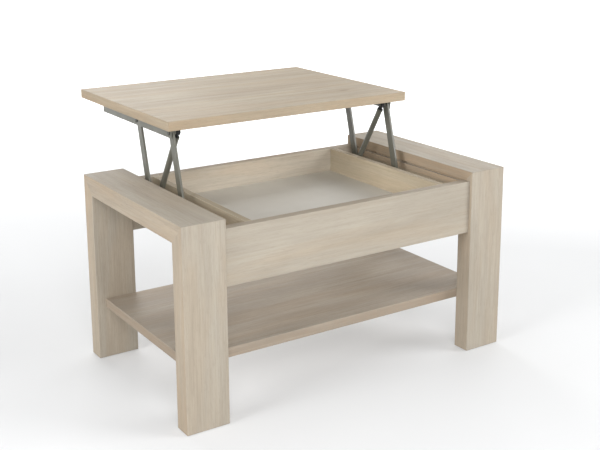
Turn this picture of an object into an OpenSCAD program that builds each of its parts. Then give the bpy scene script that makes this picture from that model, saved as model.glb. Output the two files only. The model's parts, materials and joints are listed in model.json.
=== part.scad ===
// Lift-top coffee table: two mitred end frames, a shallow storage box between
// them, a lower shelf, and a lid that swings up and out on parallel steel arms.
// Millimetres, +Z up, +X along the table. The lid is drawn raised.

/* [Table] */
// Length over the two end frames
table_l = 860; // [800:10:1000]
// Depth over the end frames, and depth of the lid
table_w = 500; // [500:10:560]
// Height of the end frames above the floor
table_h = 450; // [420:10:480]

/* [Boards] */
// Thickness of the lid, aprons and shelf
board_t = 22; // [18:1:25]
// Width of a frame leg along the table
leg_w = 100; // [80:5:120]
// Thickness of the frame legs and rails
frame_t = 44; // [38:1:50]
// Chamfer along every board edge
edge_c = 0.8; // [0.4:0.1:1.5]
// Thickness of the glides under the legs
glide_h = 2; // [1:0.5:4]

/* [Box] */
// Height of the front and back aprons
apron_h = 125; // [110:5:150]
// Set-back of the aprons behind the frame faces
apron_inset = 8; // [4:1:12]
// Width of the arm channel between frame and tray wall
channel_w = 62; // [58:1:80]
// Thickness of the tray walls and mounting rails
wall_t = 16; // [12:1:19]
// Height of the tray walls
wall_h = 73; // [66:1:80]
// Depth of the tray below its rim
tray_depth = 60; // [50:1:62]
// Thickness of the tray floor
floor_t = 4; // [3:0.5:6]
// Gap between a closed lid and the box rim
rim_gap = 1; // [0.5:0.5:2]

/* [Shelf] */
// Height of the shelf's upper face
shelf_z = 150; // [120:5:200]
// Set-back of the shelf ends from the frame ends
shelf_inset = 22; // [10:1:35]

/* [Lift] */
// Rise of the lid from closed to raised
lift = 155; // [145:1:165]
// Travel of the lid towards the back
reach = 252; // [240:1:256]
// Distance between an arm's two pivots
arm_len = 204; // [202:1:208]
// Distance between the front and rear pivots of a bracket
arm_spacing = 170; // [165:1:175]
// Width of a flat steel arm
arm_w = 20; // [14:1:22]
// Thickness of an arm
arm_t = 5; // [3:0.5:6]
// Diameter of the pivot pins
pin_d = 6; // [5:0.5:7]
// Outer diameter of the telescopic stay's tube
tube_d = 13.5; // [11:0.5:14]
// Diameter of the stay's rod
rod_d = 5; // [4:0.5:6]

/* [Hidden] */
$fn = 48;
eps = 0.1;                       // overshoot of a cut past a face
sheet_t = 2;                     // bracket steel
run_gap = 0.05;                  // radial clearance of a pin in an arm
side_gap = 0.3;                  // air between parts that move past each other

// Main planes, measured from the middle of the table
half_l = table_l / 2;
half_w = table_w / 2;
frame_in = half_l - leg_w;               // inner face of an end frame
leg_in = half_w - frame_t;               // inner face of a leg, across the table
apron_out = half_w - apron_inset;        // outer face of an apron
apron_in = apron_out - board_t;          // inner face of an apron
rim_z = table_h - board_t - rim_gap;     // top of aprons and tray walls
under_z = table_h - frame_t;             // underside of a top rail
wall_out = frame_in - channel_w;         // channel side of a tray wall
wall_in = wall_out - wall_t;             // tray side of a tray wall
floor_z = rim_z - tray_depth;            // upper face of the tray floor
groove_d = 6;                            // depth of the grooves round the floor
groove_end = 0.5;                        // air at the bottom of a groove
shelf_x = half_l - shelf_inset;          // end of the shelf
lid_gap = 2;                             // gap between lid and end frame
lid_x = frame_in - lid_gap;              // end of the lid
rail_h = 38;                             // height of a mounting rail
shadow_h = 6;                            // shadow groove in a top rail
shadow_d = 6;
glide_d = 30;                            // diameter of a glide

// Lift geometry: each arm turns from open_a to shut_a, measured from +Y
air_over = 1;                            // between an arm's end and the sheet above it
air_ahead = 0.4;                         // between an arm's end and the web ahead of it
gusset_t = 1.5;                          // web across a top bracket's front end
gusset_air = 0.5;                        // between that web and the front apron, closed
pivot_drop = sheet_t + air_over + arm_w / 2;    // top pivots below the lid
bracket_front = arm_w / 2 + air_ahead;   // front end of a top bracket ahead of its pivot
travel = norm([reach, lift]);
travel_a = atan2(lift, reach);
swing_a = acos(travel / 2 / arm_len);
open_a = travel_a + swing_a;
shut_a = travel_a + 180 - swing_a;
open_y = arm_len * cos(open_a);          // raised arm, base pivot to top pivot
open_z = arm_len * sin(open_a);
shut_y = arm_len * cos(shut_a);
shut_z = arm_len * sin(shut_a);
pivot_setback = bracket_front + gusset_t + gusset_air;   // closed front pivot behind the apron
lid_shut_z = table_h - board_t;          // underside of the closed lid
lid_z = lid_shut_z + lift;               // underside of the raised lid
front_y = -apron_in + pivot_setback - shut_y;   // base pivots
rear_y = front_y + arm_spacing;
base_z = lid_shut_z - pivot_drop - shut_z;
top_z = base_z + open_z;                 // top pivots, raised

// Layers across the channel, measured from the middle of the table
plate_x = frame_in - 26;                 // inner face of the bracket plates
washer_t = 2 - side_gap;
arm_out = plate_x - washer_t - side_gap; // outer face of an arm
arm_in = arm_out - arm_t;
eye_t = 8;                               // width of a stay's eye
sleeve_t = 7;                            // room for the spacer beside the eye
eye_out = arm_in - sleeve_t;
eye_in = eye_out - eye_t;
stay_x = (eye_out + eye_in) / 2;
head_t = 2;                              // pin heads
head_d = 10;

// Stay, from the rear base pivot to the front top pivot
stay_y = open_y - arm_spacing;
stay_len = norm([stay_y, open_z]);
stay_skew = 0.49;                        // spreads its misalignment over the travel
stay_a = atan2(open_z, stay_y) + stay_skew;
tube_len = 217;                          // base pivot to tube mouth
tube_wall = 0.8;
rod_len = 190;                           // top pivot to rod end
plug_len = 26;                           // pivot to end of the foot's plug
socket_len = stay_len - tube_len - side_gap;
eye_d = 15;
eye_clear = eye_d / 2 - 1;               // a stem starts this far from its pivot
tube_start = eye_d / 2 + 1;
rod_start = pin_d / 2 + 1.5;
socket_d = 10;
nose_len = 4;
nose_t = 1.5;                            // end wall of the nose
nose_d = tube_d + 1.2;

// Brackets
bracket_end = 24;                        // end of a base bracket beyond its pivot
base_front = front_y - bracket_end;
base_len = arm_spacing + 2 * bracket_end;
web_z = base_z - 14.35;                  // underside of the base bracket
plate_h = 28;
flange_h = 40;
corner_cut = 12;                         // side of the square that trims a plate corner
top_front = front_y + open_y - bracket_front;   // front end of a top bracket
top_len = 378;
skirt_h = 24;
top_flange = 30;
gusset_h = 12;                           // depth of the web at its outer end

// Fixings
screw_d = 3.5;
screw_head_d = 7;
screw_head_h = 2.2;
screw_len = 14;
screw_cross = [3.6, 0.9, 2];             // driver slots in a screw head
base_screw_y = [base_front + 14, front_y + 50, rear_y - 50, base_front + base_len - 14];
base_screw_z = base_z + 14;
top_screw_x = arm_in - 7;
top_screw_y = [for (d = [55, 130, 250, 350]) top_front + d];
cam_d = 15;
cam_h = 12.5;
cam_cross = [9, 3, 1.4];                 // driver slots in a cam
cam_reach = 34;                          // joint face to cam centre
bolt_d = 7;
bolt_bite = 11;                          // bolt length in the neighbouring board
cam_z = [rim_z - apron_h + 22, rim_z - 28];
cam_shelf_x = half_l - 45;
dowel_d = 8;
dowel_len = 30;
dowel_apron_z = rim_z - apron_h / 2 - 4;
dowel_wall_z = [rim_z - 15, rim_z - 43];
dowel_rail_y = leg_in - 70;
dowel_shelf_x = frame_in + 22;
dowel_mitre_x = [frame_in + leg_w / 4, half_l - leg_w / 4];
fit_gap = 0.1;                           // radial clearance round hidden fixings
apron_mid = (apron_out + apron_in) / 2;
shelf_mid = shelf_z - board_t / 2;
wall_mid = (wall_in + wall_out) / 2;
rail_mid = frame_in + wall_t / 2;

// The raised lid reaches out behind, so the table stands forward of the origin,
// which is then under the middle of the whole object.
shift_y = -reach / 2;

oak = "#c6b99f";
oak_dark = "#b9ac92";
grey_panel = "#b7b6a8";
steel = "#6c6d64";
zinc = "#a9abad";
black = "#26272a";
beech = "#d3b48a";
nylon = "#80817a";

// ---- placing ----

// Everything is drawn about the middle of the table, on its right-hand side
module placed(side = 1) translate([0, shift_y, 0]) mirror([side < 0 ? 1 : 0, 0, 0]) children();

// All four corners, or all two sides, of something drawn at the right back
module corners() for (x = [0, 1], y = [0, 1]) mirror([x, 0, 0]) mirror([0, y, 0]) children();
module both_sides() for (x = [0, 1]) mirror([x, 0, 0]) children();

// Extrusions along X from a [y, z] outline and along Y from an [x, z] outline
module along_x(len) rotate([90, 0, 90]) linear_extrude(len) children();
module along_y(len) translate([0, len, 0]) rotate([90, 0, 0]) linear_extrude(len) children();
module rod_x(x0, x1, d) translate([x0, 0, 0]) rotate([0, 90, 0]) cylinder(d = d, h = x1 - x0);
module rod_y(y0, y1, d) translate([0, y1, 0]) rotate([90, 0, 0]) cylinder(d = d, h = y1 - y0);

// ---- boards ----

module cut_rect(w, h, c = edge_c)
    polygon([[c, 0], [w - c, 0], [w, c], [w, h - c], [w - c, h], [c, h], [0, h - c], [0, c]]);

// A board with all its edges eased, from one low corner
module board(size)
    intersection() {
        linear_extrude(size.z) cut_rect(size.x, size.y);
        along_x(size.x) cut_rect(size.y, size.z);
        along_y(size.y) cut_rect(size.x, size.z);
    }

module leg()
    color(oak)
    difference() {
        intersection() {
            translate([frame_in, 0, 0]) along_x(leg_w)
                polygon([[half_w, glide_h], [half_w, table_h - edge_c],
                         [half_w - edge_c / 2, table_h - edge_c / 2],
                         [leg_in, under_z], [leg_in, glide_h]]);
            translate([frame_in, leg_in, glide_h]) linear_extrude(table_h)
                cut_rect(leg_w, frame_t);
        }
        joint_bores();
    }

module top_rail()
    color(oak)
    difference() {
        intersection() {
            translate([frame_in, 0, 0]) along_x(leg_w)
                polygon([[half_w - edge_c, table_h], [half_w - edge_c / 2, table_h - edge_c / 2],
                         [leg_in, under_z], [-leg_in, under_z],
                         [edge_c / 2 - half_w, table_h - edge_c / 2], [edge_c - half_w, table_h]]);
            translate([frame_in, -half_w, under_z]) along_y(table_w) cut_rect(leg_w, frame_t);
        }
        translate([frame_in - eps, -apron_in, rim_z - shadow_h])
            cube([shadow_d + eps, 2 * apron_in, shadow_h]);
        joint_bores();
        mirror([0, 1, 0]) joint_bores();
    }

module glides()
    color(black)
    corners() translate([half_l - leg_w / 2, half_w - frame_t / 2, 0])
        cylinder(d1 = glide_d - 2, d2 = glide_d, h = glide_h);

module apron()
    color(oak)
    difference() {
        translate([-frame_in, apron_in, rim_z - apron_h])
            board([2 * frame_in, board_t, apron_h]);
        translate([-wall_in - groove_d, apron_in - eps, floor_z - floor_t])
            cube([2 * (wall_in + groove_d), groove_d + eps, floor_t]);
        both_sides() joint_bores();
    }

module tray_wall()
    color(oak)
    difference() {
        translate([wall_in, -apron_in, rim_z - wall_h]) board([wall_t, 2 * apron_in, wall_h]);
        translate([wall_in - eps, -apron_in - eps, floor_z - floor_t])
            cube([groove_d + eps, 2 * (apron_in + eps), floor_t]);
        joint_bores();
        mirror([0, 1, 0]) joint_bores();
    }

module tray_floor()
    color(grey_panel)
    translate([0, 0, floor_z - floor_t / 2])
        cube([2 * (wall_in + groove_d - groove_end), 2 * (apron_in + groove_d - groove_end),
              floor_t], center = true);

module mounting_rail()
    color(oak_dark)
    difference() {
        translate([frame_in, -leg_in, under_z - rail_h]) board([wall_t, 2 * leg_in, rail_h]);
        joint_bores();
        mirror([0, 1, 0]) joint_bores();
        for (y = base_screw_y) translate([0, y, base_screw_z])
            rod_x(frame_in - eps, frame_in + screw_len, screw_d + 2 * fit_gap);
    }

module shelf()
    color(oak)
    difference() {
        translate([-shelf_x, -leg_in, shelf_z - board_t]) board([2 * shelf_x, 2 * leg_in, board_t]);
        corners() joint_bores();
    }

module lid()
    color(oak)
    difference() {
        translate([-lid_x, reach - half_w, lid_z]) board([2 * lid_x, table_w, board_t]);
        both_sides() for (y = top_screw_y) translate([top_screw_x, y, lid_z - eps])
            cylinder(d = screw_d + 2 * fit_gap, h = screw_len + eps);
    }

// ---- knock-down fixings, drawn for the right back corner ----

// Children are drawn at each cam, with the joint face ahead along +X
module at_cams() {
    for (z = cam_z) translate([frame_in - cam_reach, apron_mid, z]) children();
    translate([cam_shelf_x, leg_in - cam_reach, shelf_mid]) rotate([90, 0, 90]) children();
}

// Children are drawn at the middle of each dowel, with the dowel along +X
module at_dowels() {
    translate([frame_in, apron_mid, dowel_apron_z]) children();
    for (z = dowel_wall_z) translate([wall_mid, apron_in, z]) rotate([0, 0, 90]) children();
    translate([rail_mid, dowel_rail_y, under_z]) rotate([0, -90, 0]) children();
    translate([dowel_shelf_x, leg_in, shelf_mid]) rotate([0, 0, 90]) children();
    for (x = dowel_mitre_x)
        translate([x, half_w - frame_t / 2, table_h - frame_t / 2])
            rotate([0, 0, 90]) rotate([0, 45, 0]) children();
}

// The cam drops in from the face at -Y of its own axes
module cam_body(gap = 0)
    rotate([-90, 0, 0]) translate([0, 0, -board_t / 2 - (gap > 0 ? eps : 0)])
        cylinder(d = cam_d + 2 * gap, h = cam_h + gap + (gap > 0 ? eps : 0));

module bolt_body(gap = 0)
    rod_x(cam_d / 2 + side_gap, cam_reach + bolt_bite + gap, bolt_d + 2 * gap);

module dowel_body(gap = 0) rod_x(-dowel_len / 2 - gap, dowel_len / 2 + gap, dowel_d + 2 * gap);

module joint_bores() {
    at_cams() {
        cam_body(fit_gap);
        bolt_body(fit_gap);
    }
    at_dowels() dowel_body(fit_gap);
}

module cam_locks()
    color(zinc)
    corners() at_cams() difference() {
        cam_body();
        for (a = [0, 90]) rotate([0, a, 0]) translate([0, -board_t / 2, 0])
            cube(cam_cross, center = true);
    }

module cam_bolts() color(zinc) corners() at_cams() bolt_body();
module wood_dowels() color(beech) corners() at_dowels() dowel_body();

// ---- lift hardware, drawn for the right-hand side ----

module at_yz(y, z) translate([0, y, z]) children();

// A folded channel whose pivot plate has its top corners cut off
module base_bracket()
    color(steel)
    difference() {
        union() {
            translate([plate_x, base_front, web_z]) cube([sheet_t, base_len, plate_h]);
            translate([plate_x, base_front, web_z])
                cube([frame_in - plate_x, base_len, sheet_t]);
            translate([frame_in - sheet_t, base_front, web_z]) cube([sheet_t, base_len, flange_h]);
        }
        for (y = [front_y, rear_y]) at_yz(y, base_z)
            rod_x(plate_x - eps, plate_x + sheet_t + eps, pin_d + 2 * run_gap);
        for (y = base_screw_y) at_yz(y, base_screw_z)
            rod_x(frame_in - sheet_t - eps, frame_in + eps, screw_d + 4 * fit_gap);
        for (y = [base_front, base_front + base_len]) at_yz(y, web_z + plate_h)
            rotate([45, 0, 0]) cube([2 * half_l, corner_cut, corner_cut], center = true);
    }

// A folded angle with a small web across its front end
module top_bracket()
    color(steel)
    difference() {
        union() {
            translate([plate_x, top_front, lid_z - skirt_h]) cube([sheet_t, top_len, skirt_h]);
            translate([plate_x + sheet_t - top_flange, top_front, lid_z - sheet_t])
                cube([top_flange, top_len, sheet_t]);
            translate([plate_x + sheet_t, top_front - gusset_t, lid_z]) along_y(gusset_t + eps)
                polygon([[0, -gusset_h], [0, 0], [-top_flange, 0], [-top_flange, -sheet_t]]);
        }
        for (y = [front_y, rear_y]) at_yz(y + open_y, top_z)
            rod_x(plate_x - eps, plate_x + sheet_t + eps, pin_d + 2 * run_gap);
        for (y = top_screw_y) translate([top_screw_x, y, lid_z - sheet_t - eps])
            cylinder(d = screw_d + 4 * fit_gap, h = sheet_t + 2 * eps);
    }

// A flat bar with round ends and a hole at each pivot
module arm(y)
    color(steel)
    at_yz(y, base_z) rotate([open_a, 0, 0])
    difference() {
        union() {
            translate([arm_in, 0, -arm_w / 2]) cube([arm_t, arm_len, arm_w]);
            for (d = [0, arm_len]) at_yz(d, 0) rod_x(arm_in, arm_out, arm_w);
        }
        for (d = [0, arm_len]) at_yz(d, 0)
            rod_x(arm_in - eps, arm_out + eps, pin_d + 2 * run_gap);
    }

// Turns children so that their +Y runs from the base pivot to the top pivot
module from_base() at_yz(rear_y, base_z) rotate([stay_a, 0, 0]) children();
module from_top() at_yz(front_y + open_y, top_z) rotate([stay_a + 180, 0, 0]) children();

// An eye with a round stem that starts clear of the pin heads
module eye_end(stem_d, stem_len)
    difference() {
        union() {
            rod_x(eye_in, eye_out, eye_d);
            translate([stay_x, 0, 0]) difference() {
                rod_y(0, stem_len, stem_d);
                rod_x(-stem_d, stem_d, 2 * eye_clear);
            }
        }
        rod_x(eye_in - eps, eye_out + eps, pin_d + 2 * run_gap);
    }

module stay_foot()
    color(steel)
    from_base() eye_end(tube_d - 2 * tube_wall - 2 * run_gap, plug_len);

module stay_tube()
    color(steel)
    from_base() translate([stay_x, 0, 0]) difference() {
        rod_y(tube_start, tube_len - nose_t, tube_d);
        rod_y(0, tube_len + eps, tube_d - 2 * tube_wall);
    }

module stay_nose()
    color(steel)
    from_base() translate([stay_x, 0, 0]) difference() {
        rod_y(tube_len - nose_len, tube_len, nose_d);
        rod_y(tube_len - nose_len - eps, tube_len - nose_t, tube_d + 2 * run_gap);
        rod_y(0, tube_len + eps, tube_d - 2 * tube_wall);
    }

module stay_rod()
    color(zinc)
    from_top() translate([stay_x, 0, 0]) rod_y(rod_start, rod_len, rod_d);

module stay_eye()
    color(black)
    from_top() difference() {
        eye_end(socket_d, socket_len);
        translate([stay_x, 0, 0]) rod_y(rod_start - fit_gap, socket_len + eps,
                                        rod_d + 2 * run_gap);
    }

// A riveted pin from its head outside the bracket to a head at x
module pin(x) {
    rod_x(x, plate_x + sheet_t, pin_d);
    rod_x(plate_x + sheet_t, plate_x + sheet_t + head_t, head_d);
    rod_x(x - head_t, x, head_d);
}

module washer(x0, x1)
    difference() {
        rod_x(x0, x1, head_d);
        rod_x(x0 - eps, x1 + eps, pin_d + 2 * fit_gap);
    }

// A short pin holds an arm alone, and a long one an arm and a stay
module pin_pair(short_y, long_y, z)
    both_sides() {
        at_yz(short_y, z) pin(arm_in - side_gap);
        at_yz(long_y, z) pin(eye_in - side_gap);
    }

module spacer_pair(short_y, long_y, z)
    both_sides() {
        for (y = [short_y, long_y]) at_yz(y, z) washer(plate_x - washer_t, plate_x);
        at_yz(long_y, z) washer(eye_out + side_gap, arm_in - side_gap);
    }

module base_pins() color(zinc) pin_pair(front_y, rear_y, base_z);
module base_spacers() color(nylon) spacer_pair(front_y, rear_y, base_z);
module top_pins() color(zinc) pin_pair(rear_y + open_y, front_y + open_y, top_z);
module top_spacers() color(nylon) spacer_pair(rear_y + open_y, front_y + open_y, top_z);

// A pan-head screw with its head at the origin and its thread towards +Z
module screw()
    difference() {
        union() {
            cylinder(d = screw_d, h = screw_len - fit_gap);
            translate([0, 0, -screw_head_h]) cylinder(d1 = screw_head_d - 2, d2 = screw_head_d,
                                                      h = screw_head_h);
        }
        for (a = [0, 90]) rotate([0, 0, a]) translate([0, 0, -screw_head_h])
            cube(screw_cross, center = true);
    }

module base_screws()
    color(zinc)
    both_sides() for (y = base_screw_y) translate([frame_in - sheet_t, y, base_screw_z])
        rotate([0, 90, 0]) screw();

module top_screws()
    color(zinc)
    both_sides() for (y = top_screw_y) translate([top_screw_x, y, lid_z - sheet_t]) screw();

// ---- nodes ----

placed(-1) mirror([0, 1, 0]) leg();  // left_front_leg
placed(-1) leg();  // left_back_leg
placed() mirror([0, 1, 0]) leg();  // right_front_leg
placed() leg();  // right_back_leg
placed(-1) top_rail();  // left_top_rail
placed() top_rail();  // right_top_rail
placed() glides();  // floor_glides
placed() mirror([0, 1, 0]) apron();  // front_apron
placed() apron();  // back_apron
placed(-1) tray_wall();  // left_tray_wall
placed() tray_wall();  // right_tray_wall
placed() tray_floor();
placed(-1) mounting_rail();  // left_mounting_rail
placed() mounting_rail();  // right_mounting_rail
placed() shelf();
placed() cam_locks();
placed() cam_bolts();
placed() wood_dowels();
placed(-1) base_bracket();  // left_base_bracket
placed() base_bracket();  // right_base_bracket
placed() base_screws();
placed() base_pins();
placed() base_spacers();
placed(-1) arm(front_y);  // left_front_arm
placed(-1) arm(rear_y);  // left_rear_arm
placed() arm(front_y);  // right_front_arm
placed() arm(rear_y);  // right_rear_arm
placed(-1) stay_foot();  // left_stay_foot
placed(-1) stay_tube();  // left_stay_tube
placed(-1) stay_nose();  // left_stay_nose
placed(-1) stay_rod();  // left_stay_rod
placed(-1) stay_eye();  // left_stay_eye
placed() stay_foot();  // right_stay_foot
placed() stay_tube();  // right_stay_tube
placed() stay_nose();  // right_stay_nose
placed() stay_rod();  // right_stay_rod
placed() stay_eye();  // right_stay_eye
placed() lid();
placed(-1) top_bracket();  // left_top_bracket
placed() top_bracket();  // right_top_bracket
placed() top_screws();
placed() top_pins();
placed() top_spacers();
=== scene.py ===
import json
import math

import bmesh
import bpy
from mathutils import Matrix, Vector


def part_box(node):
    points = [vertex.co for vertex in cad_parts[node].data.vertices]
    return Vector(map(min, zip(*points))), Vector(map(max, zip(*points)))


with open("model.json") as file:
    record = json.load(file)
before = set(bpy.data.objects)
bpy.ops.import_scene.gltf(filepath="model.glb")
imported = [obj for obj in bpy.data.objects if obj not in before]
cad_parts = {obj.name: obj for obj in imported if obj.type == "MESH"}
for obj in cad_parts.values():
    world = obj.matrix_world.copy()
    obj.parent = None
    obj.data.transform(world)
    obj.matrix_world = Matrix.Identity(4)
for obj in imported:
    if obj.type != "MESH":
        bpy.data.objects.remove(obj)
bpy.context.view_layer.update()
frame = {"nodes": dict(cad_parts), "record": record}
nodes = frame["nodes"]
record = frame["record"]

MM = 0.001
WHITE = (1, 1, 1)
# Cosines of the turn between the flat and the rounded normal: where the wear and
# the painted highlight along an edge start, and where they are full
EDGE_TURN = (0.995, 0.86)


# ---------------------------------------------------------------- materials

class Nodes:
    """Short calls for building one material's node tree."""

    def __init__(self, name):
        self.mat = bpy.data.materials.new(name)
        self.mat.use_nodes = True
        self.tree = self.mat.node_tree
        self.shader = self.tree.nodes["Principled BSDF"]
        self.coord = self.node("ShaderNodeTexCoord")

    def node(self, kind, **props):
        made = self.tree.nodes.new(kind)
        for key, value in props.items():
            setattr(made, key, value)
        return made

    def put(self, socket, value):
        if isinstance(value, bpy.types.NodeSocket):
            self.tree.links.new(value, socket)
        else:
            socket.default_value = value

    def split(self, vector):
        """The outputs X, Y and Z of a vector."""
        made = self.node("ShaderNodeSeparateXYZ")
        self.put(made.inputs[0], vector)
        return made.outputs

    def math(self, op, a, b=0.0):
        made = self.node("ShaderNodeMath", operation=op)
        self.put(made.inputs[0], a)
        self.put(made.inputs[1], b)
        return made.outputs[0]

    def vmath(self, op, a, b=(0, 0, 0), out="Vector"):
        made = self.node("ShaderNodeVectorMath", operation=op)
        self.put(made.inputs[0], a)
        self.put(made.inputs[1], b)
        return made.outputs[out]

    def spread(self, vector, scale, offset=(0, 0, 0)):
        """A vector in metres as cycles of a pattern, scale of them to the metre."""
        made = self.node("ShaderNodeMapping")
        self.put(made.inputs["Vector"], vector)
        made.inputs["Scale"].default_value = scale
        made.inputs["Location"].default_value = offset
        return made.outputs[0]

    def noise(self, vector, scale, detail=3, rough=0.5, twist=0.0, offset=(0, 0, 0)):
        spread = self.spread(vector, scale, offset)
        made = self.node("ShaderNodeTexNoise")
        self.put(made.inputs["Vector"], spread)
        made.inputs["Scale"].default_value = 1.0
        made.inputs["Detail"].default_value = detail
        made.inputs["Roughness"].default_value = rough
        made.inputs["Distortion"].default_value = twist
        return made.outputs["Fac"]

    def remap(self, value, lo, hi, to_lo=0.0, to_hi=1.0, smooth=False):
        """Carry lo..hi over to to_lo..to_hi. Values beyond stay at its ends."""
        made = self.node("ShaderNodeMapRange",
                         interpolation_type="SMOOTHSTEP" if smooth else "LINEAR")
        self.put(made.inputs["Value"], value)
        ends = {"From Min": lo, "From Max": hi, "To Min": to_lo, "To Max": to_hi}
        for key, number in ends.items():
            made.inputs[key].default_value = number
        return made.outputs[0]

    def mix(self, factor, a, b, blend="MIX"):
        made = self.node("ShaderNodeMix", data_type="RGBA", blend_type=blend)
        self.put(made.inputs[0], factor)
        self.put(made.inputs[6], a)
        self.put(made.inputs[7], b)
        return made.outputs[2]

    def bump(self, height, strength, distance, normal=None):
        made = self.node("ShaderNodeBump")
        made.inputs["Strength"].default_value = strength
        made.inputs["Distance"].default_value = distance
        self.put(made.inputs["Height"], height)
        if normal is not None:
            self.put(made.inputs["Normal"], normal)
        return made.outputs[0]

    def rounded(self, radius):
        """Normal rounded at the edges, and a mask that is 1 along them."""
        bevel = self.node("ShaderNodeBevel", samples=4)
        bevel.inputs["Radius"].default_value = radius
        geometry = self.node("ShaderNodeNewGeometry")
        turn = self.vmath("DOT_PRODUCT", bevel.outputs[0], geometry.outputs["Normal"], "Value")
        return bevel.outputs[0], self.remap(turn, *EDGE_TURN, smooth=True)


def rgb(r, g, b):
    """An sRGB colour, 0 to 255, as linear RGBA."""
    def linear(v):
        v /= 255
        return ((v + 0.055) / 1.055) ** 2.4 if v > 0.04045 else v / 12.92
    return (linear(r), linear(g), linear(b), 1.0)


def shade(colour, factor, warm=0.0):
    """The colour times factor. A warm above 0 raises its red and lowers its blue."""
    return (colour[0] * factor * (1 + warm), colour[1] * factor,
            colour[2] * factor * (1 - warm), 1.0)


# Which object axes lie along, across and through the grain
GRAIN = {"x": (0, 1, 2), "y": (1, 0, 2), "z": (2, 0, 1)}
SQUARE_ON = 0.8             # a normal's part along an axis that makes a face square to it
# faces towards the middle of the table get a painted light or painted shade, lighter on the
# aprons and darker on the rails
MIDDLE_ZONE = 50 * MM       # how near the middle of the table a face has no inner tint
RING_PITCH = 8.5 * MM       # between growth rings
RING_LEAN = 0.055           # the heart line's slope through the board
RING_SWAY = 60 * MM         # how far the arches wander across the face
RING_SWELL = 14 * MM        # and how far the rings' radius does
KNOT_STRETCH = (0.50, 1.0, 1.0)     # halves distances along x, so the knot is oval
KNOT_REACH = 50 * MM        # where the grain starts to bend round the knot
KNOT_PULL = 0.72            # how far it bends, as a share of its distance
KNOT_HALO = (34 * MM, 8 * MM)       # radii where the dark ring starts and is full
KNOT_HEART = (10 * MM, 3 * MM)      # and the same for the heart
OAK_EDGE = 0.9 * MM         # the radius of an edge
OAK_BUMP = 0.15 * MM        # the depth of the grain
# The oak's figure from broad to fine: its pattern, where the mark starts and is
# full, its strength, and the factor and warmth of its shade
OAK_MARKS = [
    ("streak", 0.48, 0.70, 0.44, 0.78, 0.04),
    ("streak", 0.46, 0.32, 0.22, 1.12, 0.0),
    ("line", 0.50, 0.72, 0.52, 0.74, 0.03),
    ("line", 0.46, 0.30, 0.25, 1.16, 0.0),
    ("fleck", 0.52, 0.72, 0.34, 0.70, 0.03),
]


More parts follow.
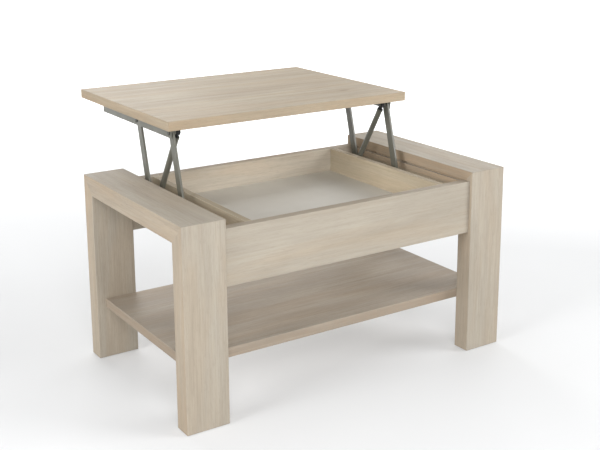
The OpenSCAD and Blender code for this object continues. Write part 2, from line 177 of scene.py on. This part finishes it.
def washed_oak(name, colour, grain, bands="", knot=None, seed=0.0, contrast=1.0,
               centre=(0.0, 0.0), band_tint=(0.965, 0.075), painted_inner_light=None):
    """Pale foil-faced oak, laid out in the table's own metres.

    grain is the axis that it runs along, and bands names the axes whose faces are
    edge bands. knot is a point that the grain bends round. seed shifts the noises,
    and contrast is the strength of the figure. centre is where the growth rings'
    heart lies, across and through the board. band_tint is the bands' factor and
    warmth. The last argument is (axis, middle, tint): a painted light or painted
    shade, as tint says, on the faces that look towards the middle of the table.
    """
    m = Nodes(name)
    point = m.split(m.coord.outputs["Object"])
    along, across, through = (point[i] for i in GRAIN[grain])
    facing = m.split(m.coord.outputs["Normal"])
    turned = {axis: m.math("GREATER_THAN", m.math("ABSOLUTE", facing[i]), SQUARE_ON)
              for i, axis in enumerate("xyz")}
    if grain in bands:
        # on an end face the grain runs along the edge
        side_face = m.math("SUBTRACT", 1.0, turned[grain])

        def swap(side, end):
            return m.math("ADD", m.math("MULTIPLY", turned[grain], end),
                          m.math("MULTIPLY", side_face, side))

        along, across, through = swap(along, across), swap(across, through), swap(through, along)
    if knot:
        # the grain bends round the knot
        reach = m.vmath("SUBTRACT", m.coord.outputs["Object"], knot)
        reach = m.vmath("MULTIPLY", reach, KNOT_STRETCH)
        near = m.vmath("LENGTH", reach, out="Value")
        pull = m.remap(near, 0.0, KNOT_REACH, KNOT_PULL, 0.0, smooth=True)
        across = m.math("SUBTRACT", across, m.math("MULTIPLY", pull, m.split(reach)[1]))
    joined = m.node("ShaderNodeCombineXYZ")
    for socket, value in zip(joined.inputs, (along, across, through)):
        m.put(socket, value)
    p = joined.outputs[0]
    off = (seed, seed * 1.7, seed * 0.3)

    # growth rings round a leaning heart line, stretched into long arches on the face
    wander = m.math("SUBTRACT", m.noise(p, (1.6, 7, 7), 3, 0.5, 0.4, off), 0.5)
    lean = m.math("MULTIPLY", along, RING_LEAN)
    flat = m.math("ADD", m.math("SUBTRACT", across, centre[0]),
                  m.math("MULTIPLY", wander, RING_SWAY))
    deep = m.math("ADD", m.math("SUBTRACT", through, centre[1]), lean)
    ring_r = m.math("SQRT", m.math("ADD", m.math("MULTIPLY", flat, flat),
                                   m.math("MULTIPLY", deep, deep)))
    ring_r = m.math("ADD", ring_r, m.math("MULTIPLY", wander, RING_SWELL))
    ring = m.math("POWER", m.math("FRACT", m.math("MULTIPLY", ring_r, 1 / RING_PITCH)), 2.0)
    patchy = m.remap(m.noise(p, (1.8, 12, 12), 3, 0.6, 0.0, (seed + 4, 2, 7)), 0.44, 0.64)
    ring = m.math("MULTIPLY", ring, patchy)

    # broad clouds of shade and warmth, long streaks, fine lines, short fibres and open pores
    cloud = m.noise(p, (1.7, 12, 12), 4, 0.6, 0.7, (off[0] + 9, off[1], off[2]))
    warmth = m.noise(p, (2.4, 20, 20), 4, 0.58, 0.5, (off[0] + 3, off[1] + 6, off[2]))
    marks = {
        "streak": m.noise(p, (4.0, 60, 60), 5, 0.64, 0.35, off),
        "line": m.noise(p, (7.0, 300, 300), 3, 0.62, 0.1, (off[1], off[0], 1)),
        "fleck": m.noise(p, (60, 520, 520), 2, 0.6, 0.0, (off[1], off[0], 4)),
    }
    streak = marks["streak"]
    fibre = m.noise(p, (34, 900, 900), 2, 0.6, 0.0, off)
    pores = m.remap(m.noise(p, (40, 620, 620), 2, 0.5, 0.0, (seed, 3, 5)), 0.60, 0.70)
    pores = m.math("MULTIPLY", pores, m.remap(streak, 0.45, 0.65, 0.35, 1.0))

    tone = m.mix(m.remap(cloud, 0.36, 0.64), shade(colour, 1.05), shade(colour, 0.89, 0.006))
    tone = m.mix(m.remap(warmth, 0.44, 0.62), tone, shade(WHITE, 0.965, 0.050), "MULTIPLY")
    if bands:
        band = 0.0
        for axis in bands:
            band = m.math("MAXIMUM", band, turned[axis])
        tone = m.mix(m.math("MULTIPLY", band, m.remap(warmth, 0.3, 0.6, 0.75, 1.0)), tone,
                     shade(WHITE, *band_tint), "MULTIPLY")
    # painted light and shade: faces that look towards the middle of the table are multiplied by
    # a tint, lighter on the aprons, darker and warmer on the rails
    if painted_inner_light:
        axis, middle, tint = painted_inner_light
        i = "xyz".index(axis)
        outward = m.math("MULTIPLY", facing[i], m.math("SUBTRACT", point[i], middle))
        tone = m.mix(m.math("LESS_THAN", outward, -MIDDLE_ZONE), tone, tint, "MULTIPLY")
    tone = m.mix(m.math("MULTIPLY", ring, 0.26 * contrast), tone, shade(colour, 0.78, 0.04))
    for pattern, start, full, strength, factor, warm in OAK_MARKS:
        mark = m.remap(marks[pattern], start, full, 0.0, strength * contrast)
        tone = m.mix(mark, tone, shade(colour, factor, warm))
    tone = m.mix(m.math("MULTIPLY", pores, 0.34 * contrast), tone, shade(colour, 0.55, 0.05))
    if knot:
        halo = m.remap(near, *KNOT_HALO, 0.0, 0.30, smooth=True)
        heart = m.remap(near, *KNOT_HEART, 0.0, 0.60, smooth=True)
        tone = m.mix(halo, tone, shade(colour, 0.76, 0.05))
        tone = m.mix(heart, tone, shade(colour, 0.50, 0.10))
    normal, edge = m.rounded(OAK_EDGE)
    # lighter along the edges: worn in patches, over a faint painted highlight all along them
    rub_and_highlight = m.remap(m.noise(p, (40, 60, 60), 3, 0.6), 0.40, 0.62, 0.10, 0.60)
    tone = m.mix(m.math("MULTIPLY", edge, rub_and_highlight), tone, shade(colour, 1.13, 0.01))
    m.put(m.shader.inputs["Base Color"], tone)

    rough = m.remap(streak, 0.3, 0.7, 0.48, 0.62)
    rough = m.math("ADD", rough, m.math("MULTIPLY", pores, 0.12))
    m.put(m.shader.inputs["Roughness"], rough)
    height = m.math("ADD", m.math("MULTIPLY", fibre, 0.25), m.math("MULTIPLY", streak, 0.5))
    height = m.math("SUBTRACT", height, m.math("MULTIPLY", pores, 0.8))
    m.put(m.shader.inputs["Normal"], m.bump(height, 0.22, OAK_BUMP, normal))
    m.shader.inputs["Specular IOR Level"].default_value = 0.08
    return m.mat


def painted_panel(name, colour):
    """Smooth painted fibreboard: faint orange peel, a few scuffs and dust."""
    m = Nodes(name)
    p = m.coord.outputs["Object"]
    cloud = m.noise(p, (6, 6, 6), 4, 0.55)
    speck = m.noise(p, (420, 420, 420), 2, 0.5)
    scuff = m.remap(m.noise(p, (9, 55, 20), 4, 0.6, 0.8), 0.60, 0.74)
    tone = m.mix(m.remap(cloud, 0.35, 0.65), shade(colour, 1.03), shade(colour, 0.955, 0.01))
    tone = m.mix(m.math("MULTIPLY", scuff, 0.22), tone, shade(colour, 0.86))
    tone = m.mix(m.remap(speck, 0.62, 0.72, 0.0, 0.20), tone, shade(colour, 0.80))
    m.put(m.shader.inputs["Base Color"], tone)
    m.put(m.shader.inputs["Roughness"], m.remap(cloud, 0.3, 0.7, 0.42, 0.56))
    peel = m.noise(p, (260, 260, 260), 3, 0.5)
    m.put(m.shader.inputs["Normal"], m.bump(peel, 0.10, 0.2 * MM))
    return m.mat


BARE_STEEL = (150, 148, 140)


def painted_steel(name, colour):
    """Satin paint on sheet steel with a painted highlight along its edges, worn to bare metal
    here and there along them.
    """
    m = Nodes(name)
    p = m.coord.outputs["Object"]
    cloud = m.noise(p, (22, 22, 22), 4, 0.6)
    grain = m.noise(p, (900, 900, 900), 2, 0.5)
    rub = m.remap(m.noise(p, (60, 18, 18), 5, 0.65, 0.6), 0.46, 0.62)
    normal, edge = m.rounded(0.6 * MM)
    tone = m.mix(m.remap(cloud, 0.3, 0.7), shade(colour, 1.10), shade(colour, 0.86, 0.02))
    tone = m.mix(m.remap(grain, 0.55, 0.75, 0.0, 0.25), tone, shade(colour, 0.70))
    bare = m.remap(m.noise(p, (130, 130, 130), 4, 0.65), 0.48, 0.62)
    bare = m.math("MULTIPLY", edge, bare)
    # a painted highlight all along the edges
    tone = m.mix(m.math("MULTIPLY", edge, 0.30), tone, shade(colour, 1.45))
    tone = m.mix(m.math("MULTIPLY", bare, 0.55), tone, rgb(*BARE_STEEL))
    m.put(m.shader.inputs["Base Color"], tone)
    m.put(m.shader.inputs["Metallic"], m.math("MULTIPLY", bare, 0.8))
    m.put(m.shader.inputs["Roughness"], m.remap(rub, 0.0, 1.0, 0.44, 0.34))
    m.put(m.shader.inputs["Normal"], m.bump(grain, 0.12, 0.12 * MM, normal))
    m.shader.inputs["Coat Weight"].default_value = 0.12
    m.shader.inputs["Coat Roughness"].default_value = 0.25
    return m.mat


def zinc(name, colour, radius=0.35 * MM, rough=0.34):
    """Zinc-plated steel: mottled plating, turning marks, and a painted highlight along the
    edges.
    """
    m = Nodes(name)
    p = m.coord.outputs["Object"]
    mottle = m.node("ShaderNodeTexVoronoi", feature="F1")
    m.put(mottle.inputs["Vector"], m.spread(p, (420, 420, 420)))
    mottle.inputs["Scale"].default_value = 1.0
    dull = m.noise(p, (70, 70, 70), 4, 0.6)
    normal, edge = m.rounded(radius)
    tone = m.mix(m.remap(dull, 0.35, 0.68), shade(colour, 1.08), shade(colour, 0.74, 0.03))
    tone = m.mix(m.remap(mottle.outputs["Distance"], 0.2, 0.9, 0.0, 0.22), tone,
                 shade(colour, 0.80, -0.02))
    # a painted highlight all along the edges
    tone = m.mix(m.math("MULTIPLY", edge, 0.5), tone, shade(colour, 1.35))
    m.put(m.shader.inputs["Base Color"], tone)
    m.shader.inputs["Metallic"].default_value = 0.95
    m.put(m.shader.inputs["Roughness"], m.remap(dull, 0.3, 0.7, rough - 0.06, rough + 0.14))
    marks = m.noise(p, (1500, 260, 260), 2, 0.5)
    m.put(m.shader.inputs["Normal"], m.bump(marks, 0.10, 0.05 * MM, normal))
    return m.mat


def moulded(name, colour, rough=0.55):
    """Moulded plastic with a fine spark-eroded grain and a painted highlight along its edges."""
    m = Nodes(name)
    p = m.coord.outputs["Object"]
    grain = m.noise(p, (1400, 1400, 1400), 2, 0.6)
    cloud = m.noise(p, (45, 45, 45), 3, 0.5)
    normal, edge = m.rounded(0.4 * MM)
    tone = m.mix(m.remap(cloud, 0.35, 0.65), shade(colour, 1.10), shade(colour, 0.90))
    # a painted highlight all along the edges
    tone = m.mix(m.math("MULTIPLY", edge, 0.35), tone, shade(colour, 1.55))
    tone = m.mix(m.remap(grain, 0.55, 0.75, 0.0, 0.30), tone, shade(colour, 0.78))
    m.put(m.shader.inputs["Base Color"], tone)
    m.put(m.shader.inputs["Roughness"], m.remap(cloud, 0.3, 0.7, rough - 0.06, rough + 0.08))
    m.put(m.shader.inputs["Normal"], m.bump(grain, 0.18, 0.06 * MM, normal))
    return m.mat


OAK = rgb(168, 160, 147)
LID_OAK = rgb(169, 157, 138)
SHELF_OAK = rgb(167, 157, 144)
# the tray walls' oak is lighter than the rest: painted light, for the shade inside the tray
TRAY_OAK_LIGHTENED = rgb(190, 179, 158)
BEECH = rgb(211, 180, 138)
KNOT_AT = (0.83, 0.21)      # the knot's place, as shares of the lid's length and depth
lid_lo, lid_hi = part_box("lid")
lid_mid_y = (lid_lo[1] + lid_hi[1]) / 2
knot_at = (lid_lo[0] + KNOT_AT[0] * (lid_hi[0] - lid_lo[0]),
           lid_lo[1] + KNOT_AT[1] * (lid_hi[1] - lid_lo[1]), lid_hi[2])
shelf_lo, shelf_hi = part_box("shelf")
shelf_mid_y = (shelf_lo[1] + shelf_hi[1]) / 2

finishes = {
    "oak_lid": washed_oak("oak_lid", LID_OAK, "x", bands="xy", knot=knot_at, seed=2.0,
                          contrast=1.1, centre=(lid_mid_y - 0.06, lid_lo[2] - 0.10),
                          band_tint=(0.965, 0.045)),
    "oak_shelf": washed_oak("oak_shelf", SHELF_OAK, "x", bands="xy", seed=11.0,
                            contrast=1.2, centre=(shelf_mid_y + 0.05, shelf_lo[2] - 0.08),
                            band_tint=(0.80, 0.055)),
    # the aprons' faces towards the middle are made 1.27 times lighter: painted light inside the
    # tray
    "oak_apron": washed_oak("oak_apron", OAK, "x", bands="xz", seed=5.0, contrast=0.7,
                            centre=(0.30, 0.36), band_tint=(0.89, 0.06),
                            painted_inner_light=("y", shelf_mid_y, shade(WHITE, 1.27))),
    "oak_leg": washed_oak("oak_leg", OAK, "z", bands="x", seed=23.0, centre=(0.0, -0.12)),
    # the rails' faces towards the middle are made darker and warmer: painted shade with a warm
    # bounce from the wood around them
    "oak_rail": washed_oak("oak_rail", OAK, "y", bands="x", seed=31.0, centre=(0.0, 0.30),
                           painted_inner_light=("x", 0.0, shade(WHITE, 0.91, 0.10))),
    "oak_tray_wall": washed_oak("oak_tray_wall", TRAY_OAK_LIGHTENED, "y", bands="z", seed=7.0,
                                centre=(0.0, 0.30), band_tint=(0.66, 0.035)),
    "oak_mounting_rail": washed_oak("oak_mounting_rail", LID_OAK, "y", bands="z",
                                    seed=13.0, centre=(0.0, 0.30)),
    "beech_dowel": washed_oak("beech_dowel", BEECH, "x", seed=3.0, contrast=0.8),
    "grey_panel": painted_panel("grey_panel", rgb(193, 190, 182)),
    "painted_steel": painted_steel("painted_steel", rgb(101, 101, 92)),
    "zinc_fitting": zinc("zinc_fitting", rgb(178, 180, 182)),
    "zinc_screw": zinc("zinc_screw", rgb(168, 168, 164), radius=0.25 * MM),
    "zinc_pin": zinc("zinc_pin", rgb(92, 92, 86), rough=0.40),
    "zinc_rod": zinc("zinc_rod", rgb(138, 140, 134), radius=0.3 * MM, rough=0.28),
    "nylon": moulded("nylon", rgb(128, 129, 122), rough=0.45),
    "black_plastic": moulded("black_plastic", rgb(36, 37, 40)),
}
for part in record["subparts"]:
    mesh = nodes[part["node"]].data
    mesh.materials.clear()
    mesh.materials.append(finishes[part["material_slot"]])


# ---------------------------------------------------------------- floor and light

# The camera's place, in metres, and its aim, at the photograph's viewing angle
CAMERA_AT = (-1.3092, -2.1478, 1.0689)
CAMERA_YAW = math.radians(33.156)
CAMERA_PITCH = math.radians(13.462)
CAMERA_ROLL = math.radians(-0.248)
CAMERA_SHIFT_Y = -0.12
SENSOR = 36                             # mm
FOCAL_LENGTH = 1051.9 / 600 * SENSOR    # from the focal length in pixels

# The floor is turned to face the camera. x runs to the right of the view and y
# away from it, in metres.
FLOOR_HALF = 9.0
FLOOR_FRONT = -9.0
BEND_AT = 4.2
BEND_RADIUS = 2.2
BEND_STEPS = 16
BACKDROP_TOP = 7.0
# The floor glows a little, so that it fades to white behind the table, as the
# photograph's does. Each glow is from, to, strength at from, strength at to.
GLOW_FRONT = (-0.83, 0.0, 0.335, 0.195)     # along y
GLOW_RIGHT = (-0.6, 0.9, 0.0, 0.064)        # along x, added to the first
GLOW_FAR = (0.5, 3.0, 0.205, 0.85)          # along y, and sooner to the right
GLOW_FAR_SLANT = 0.35
GLOW_AWAY = (1.3, 4.5, 0.205, 0.90)         # outwards from the table


def make_floor():
    """A floor that sweeps up into a backdrop, far larger than the view."""
    profile = [(FLOOR_FRONT, 0.0), (BEND_AT, 0.0)]
    for i in range(1, BEND_STEPS + 1):
        a = math.radians(90 * i / BEND_STEPS)
        profile.append((BEND_AT + BEND_RADIUS * math.sin(a),
                        BEND_RADIUS * (1 - math.cos(a))))
    profile.append((BEND_AT + BEND_RADIUS, BACKDROP_TOP))
    bm = bmesh.new()
    rows = [[bm.verts.new((x, y, z)) for x in (-FLOOR_HALF, FLOOR_HALF)] for y, z in profile]
    for a, b in zip(rows, rows[1:]):
        bm.faces.new((a[0], a[1], b[1], b[0]))
    mesh = bpy.data.meshes.new("floor")
    bm.to_mesh(mesh)
    bm.free()
    for face in mesh.polygons:
        face.use_smooth = True
    floor = bpy.data.objects.new("floor", mesh)
    bpy.context.collection.objects.link(floor)
    mesh.materials.append(floor_paper())
    floor.rotation_euler = (0, 0, -CAMERA_YAW)


def floor_paper():
    """Matt pale paper with the glows above."""
    m = Nodes("floor_paper")
    p = m.coord.outputs["Object"]
    m.put(m.shader.inputs["Base Color"],
          m.mix(m.noise(p, (1.5, 1.5, 1.5), 3, 0.5), rgb(193, 194, 195), rgb(197, 198, 199)))
    m.shader.inputs["Roughness"].default_value = 0.85
    m.shader.inputs["Specular IOR Level"].default_value = 0.2
    x, y, _ = m.split(p)
    away = m.vmath("LENGTH", m.vmath("MULTIPLY", p, (1, 1, 0)), out="Value")
    m.shader.inputs["Emission Color"].default_value = (1, 1, 1, 1)
    front = m.remap(y, *GLOW_FRONT, smooth=True)
    near = m.math("ADD", front, m.remap(x, *GLOW_RIGHT))
    back = m.math("ADD", y, m.math("MULTIPLY", x, GLOW_FAR_SLANT))
    far = m.remap(back, *GLOW_FAR, smooth=True)
    m.put(m.shader.inputs["Emission Strength"],
          m.math("MAXIMUM", m.math("MAXIMUM", near, far),
                 m.remap(away, *GLOW_AWAY, smooth=True)))
    return m.mat


# Soft studio lights, all aimed at one point: place, width and height in metres, and watts
LIGHT_AIM = (0.0, -0.1, 0.3)
LIGHTS = {
    "front_left": ((-2.7, -5.6, 2.8), (3.3, 2.5), 236),
    "left": ((-5.6, -0.9, 2.3), (2.2, 2.0), 190),
    "right": ((5.1, -4.4, 2.85), (3.6, 3.0), 330),
    "top": ((-0.6, -0.4, 3.6), (3.0, 3.0), 15),
    "back": ((0.4, 4.2, 2.4), (3.0, 1.8), 110),
    "back_right": ((3.6, 2.4, 1.9), (2.0, 1.6), 29),
}
# The studio's walls are white to the eye, and throw only a soft light
WALLS_SEEN = 1.0
WALLS_LIT = 0.15


def area_light(name, place, size, power):
    data = bpy.data.lights.new(name, "AREA")
    data.shape = "RECTANGLE"
    data.size, data.size_y = size
    data.energy = power
    light = bpy.data.objects.new(name, data)
    light.location = place
    aim = Vector(LIGHT_AIM) - Vector(place)
    light.rotation_euler = aim.to_track_quat("-Z", "Y").to_euler()
    light.visible_camera = False
    bpy.context.collection.objects.link(light)


def make_walls():
    """A world that shows the camera one brightness and lights the table with another."""
    world = bpy.data.worlds.new("studio")
    world.use_nodes = True
    sky = world.node_tree
    seen, lit = sky.nodes["Background"], sky.nodes.new("ShaderNodeBackground")
    for shader, strength in ((seen, WALLS_SEEN), (lit, WALLS_LIT)):
        shader.inputs["Color"].default_value = (1, 1, 1, 1)
        shader.inputs["Strength"].default_value = strength
    choose, ray = sky.nodes.new("ShaderNodeMixShader"), sky.nodes.new("ShaderNodeLightPath")
    sky.links.new(ray.outputs["Is Camera Ray"], choose.inputs[0])
    sky.links.new(lit.outputs[0], choose.inputs[1])
    sky.links.new(seen.outputs[0], choose.inputs[2])
    sky.links.new(choose.outputs[0], sky.nodes["World Output"].inputs["Surface"])
    bpy.context.scene.world = world


def make_camera():
    """The camera, placed by its own right, up and back directions."""
    yaw, pitch, roll = CAMERA_YAW, CAMERA_PITCH, CAMERA_ROLL
    forward = Vector((math.sin(yaw) * math.cos(pitch), math.cos(yaw) * math.cos(pitch),
                      -math.sin(pitch)))
    right = Vector((math.cos(yaw), -math.sin(yaw), 0))
    up = right.cross(forward)
    right, up = (math.cos(roll) * right + math.sin(roll) * up,
                 -math.sin(roll) * right + math.cos(roll) * up)
    lens = bpy.data.cameras.new("camera")
    lens.sensor_width = SENSOR
    lens.lens = FOCAL_LENGTH
    lens.shift_y = CAMERA_SHIFT_Y
    lens.clip_start, lens.clip_end = 0.05, 60
    camera = bpy.data.objects.new("camera", lens)
    placing = Matrix((right, up, -forward)).transposed().to_4x4()
    placing.translation = Vector(CAMERA_AT)
    camera.matrix_world = placing
    bpy.context.collection.objects.link(camera)
    bpy.context.scene.camera = camera


make_floor()
make_walls()
for light_name, (place, size, power) in LIGHTS.items():
    area_light(light_name, place, size, power)
make_camera()
bpy.context.scene.view_settings.view_transform = "Standard"
